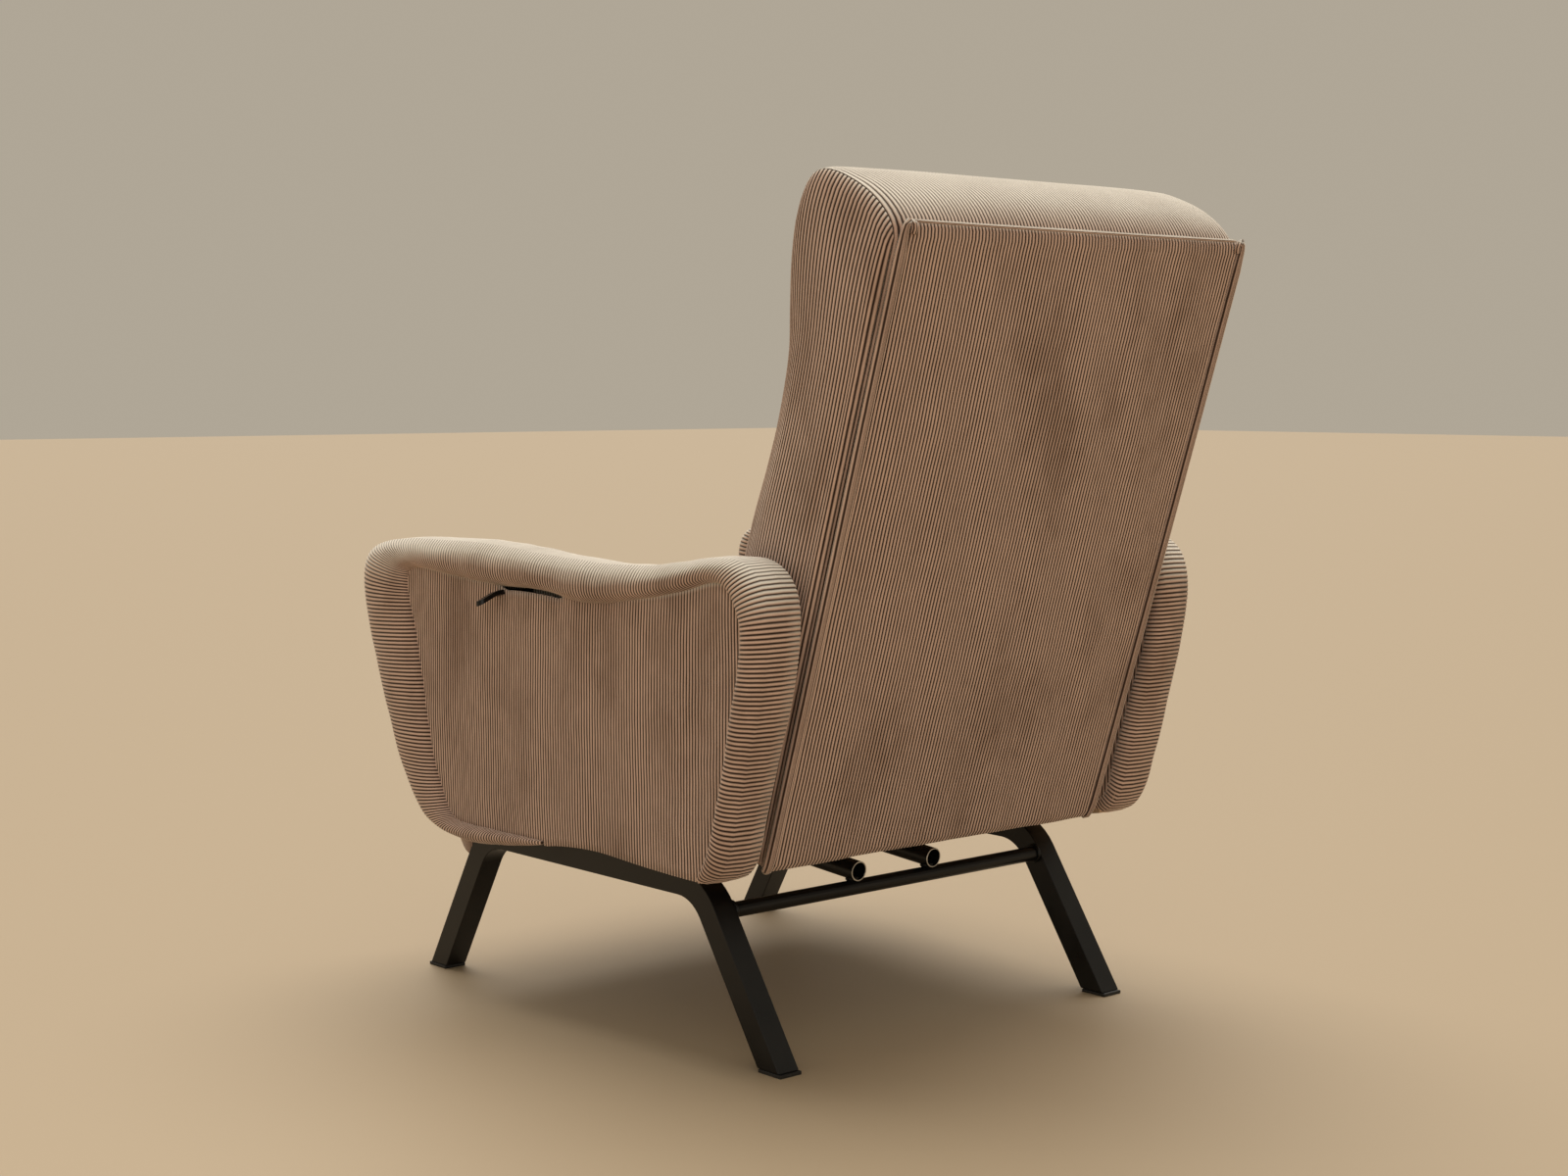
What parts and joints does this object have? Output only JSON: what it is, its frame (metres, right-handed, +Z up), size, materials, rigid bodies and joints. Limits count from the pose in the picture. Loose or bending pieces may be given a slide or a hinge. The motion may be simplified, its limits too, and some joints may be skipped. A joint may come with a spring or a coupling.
{
  "type": "recliner armchair",
  "caption": "Upholstered corduroy recliner armchair on a bent black tube base, with a reclining back, a seat that slides with it, a pull-out footrest and a side release lever.",
  "frame": {"origin": "on the floor, under the middle of the chair's box, which includes the lever that stands out of the left arm", "axes": "+Z up, -Y towards the front of the seat, +X towards the sitter's left"},
  "size_m": [0.724, 0.9252, 0.9769],
  "materials": {
    "corduroy": "beige-taupe ribbed corduroy",
    "black_paint": "satin black paint",
    "black_plastic": "matt",
    "steel": "bare",
    "beech": "raw planed",
    "webbing": "woven jute"
  },
  "bodies": {
    "base_and_arms": {"side_frame_left": "black_paint", "side_frame_right": "black_paint", "rear_cross_tube": "black_paint", "front_cross_tube": "black_paint", "guide_tube_left": "black_paint", "guide_tube_right": "black_paint", "foot_cap_front_left": "black_plastic", "foot_cap_front_right": "black_plastic", "foot_cap_rear_left": "black_plastic", "foot_cap_rear_right": "black_plastic", "seat_runner_left": "black_plastic", "seat_runner_right": "black_plastic", "base_rail_left": "beech", "base_rail_right": "beech", "arm_top_rail_left": "beech", "arm_top_rail_right": "beech", "arm_front_post_left": "beech", "arm_front_post_right": "beech", "arm_rear_post_left": "beech", "arm_rear_post_right": "beech", "arm_bottom_rail_left": "beech", "arm_bottom_rail_right": "beech", "arm_pivot_post_left": "beech", "arm_pivot_post_right": "beech", "arm_bolt_front_left": "steel", "arm_bolt_front_right": "steel", "arm_bolt_rear_left": "steel", "arm_bolt_rear_right": "steel", "pivot_bolt_left": "steel", "pivot_bolt_right": "steel", "lever_pivot_bolt": "steel", "arm_outer_panel_left": "corduroy", "arm_outer_panel_right": "corduroy", "arm_inner_panel_left": "corduroy", "arm_inner_panel_right": "corduroy", "arm_roll_left": "corduroy", "arm_roll_right": "corduroy"},
    "backrest": {"back_stile_left": "beech", "back_stile_right": "beech", "back_top_rail": "beech", "back_bottom_rail": "beech", "back_webbing": "webbing", "back_cushion": "corduroy", "outside_back_panel": "corduroy", "hinge_plate_left": "steel", "hinge_plate_right": "steel"},
    "seat": {"seat_side_rail_left": "beech", "seat_side_rail_right": "beech", "seat_front_rail": "beech", "seat_rear_rail": "beech", "seat_webbing": "webbing", "seat_cushion": "corduroy"},
    "footrest": {"footrest_board": "beech", "footrest_pad": "corduroy", "footrest_rod_left": "steel", "footrest_rod_right": "steel"},
    "release_lever": {"release_lever": "black_paint"},
    "pull_rod": {"pull_rod": "steel"},
    "brake_cam": {"brake_cam": "steel"}
  },
  "joints": [
    {"name": "back_recline", "type": "hinge", "parent": "base_and_arms", "child": "backrest", "pos_m": [0, 0.21256, 0.4], "axis": [-1, 0, 0], "range_deg": [0, 28]},
    {"name": "seat_slide", "type": "slide", "parent": "base_and_arms", "child": "seat", "axis": [0, -0.9971, 0.0767], "range_m": [0, 0.0715]},
    {"name": "footrest_slide", "type": "slide", "parent": "base_and_arms", "child": "footrest", "axis": [0, -0.9971, 0.0767], "range_m": [0, 0.32]},
    {"name": "lever_swing", "type": "hinge", "parent": "base_and_arms", "child": "release_lever", "pos_m": [0.2865, -0.09544, 0.265], "axis": [-1, 0, 0], "range_deg": [0, 28], "stiffness_Nm_per_rad": 1, "springref_deg": -17.19},
    {"name": "rod_link", "type": "hinge", "parent": "release_lever", "child": "pull_rod", "pos_m": [0.29, -0.10996, 0.32322], "axis": [-1, 0, 0], "range_deg": [-28.1, 0]},
    {"name": "cam_turn", "type": "hinge", "parent": "base_and_arms", "child": "brake_cam", "pos_m": [0.2865, 0.13876, 0.4], "axis": [-1, 0, 0], "range_deg": [0, 28.1]}
  ],
  "couplings": [
    {"joint": "seat_slide", "follows": "back_recline", "m_per_rad": 0.145},
    {"joint": "rod_link", "follows": "lever_swing", "ratio": -1},
    {"joint": "cam_turn", "follows": "lever_swing", "ratio": 1}
  ]
}
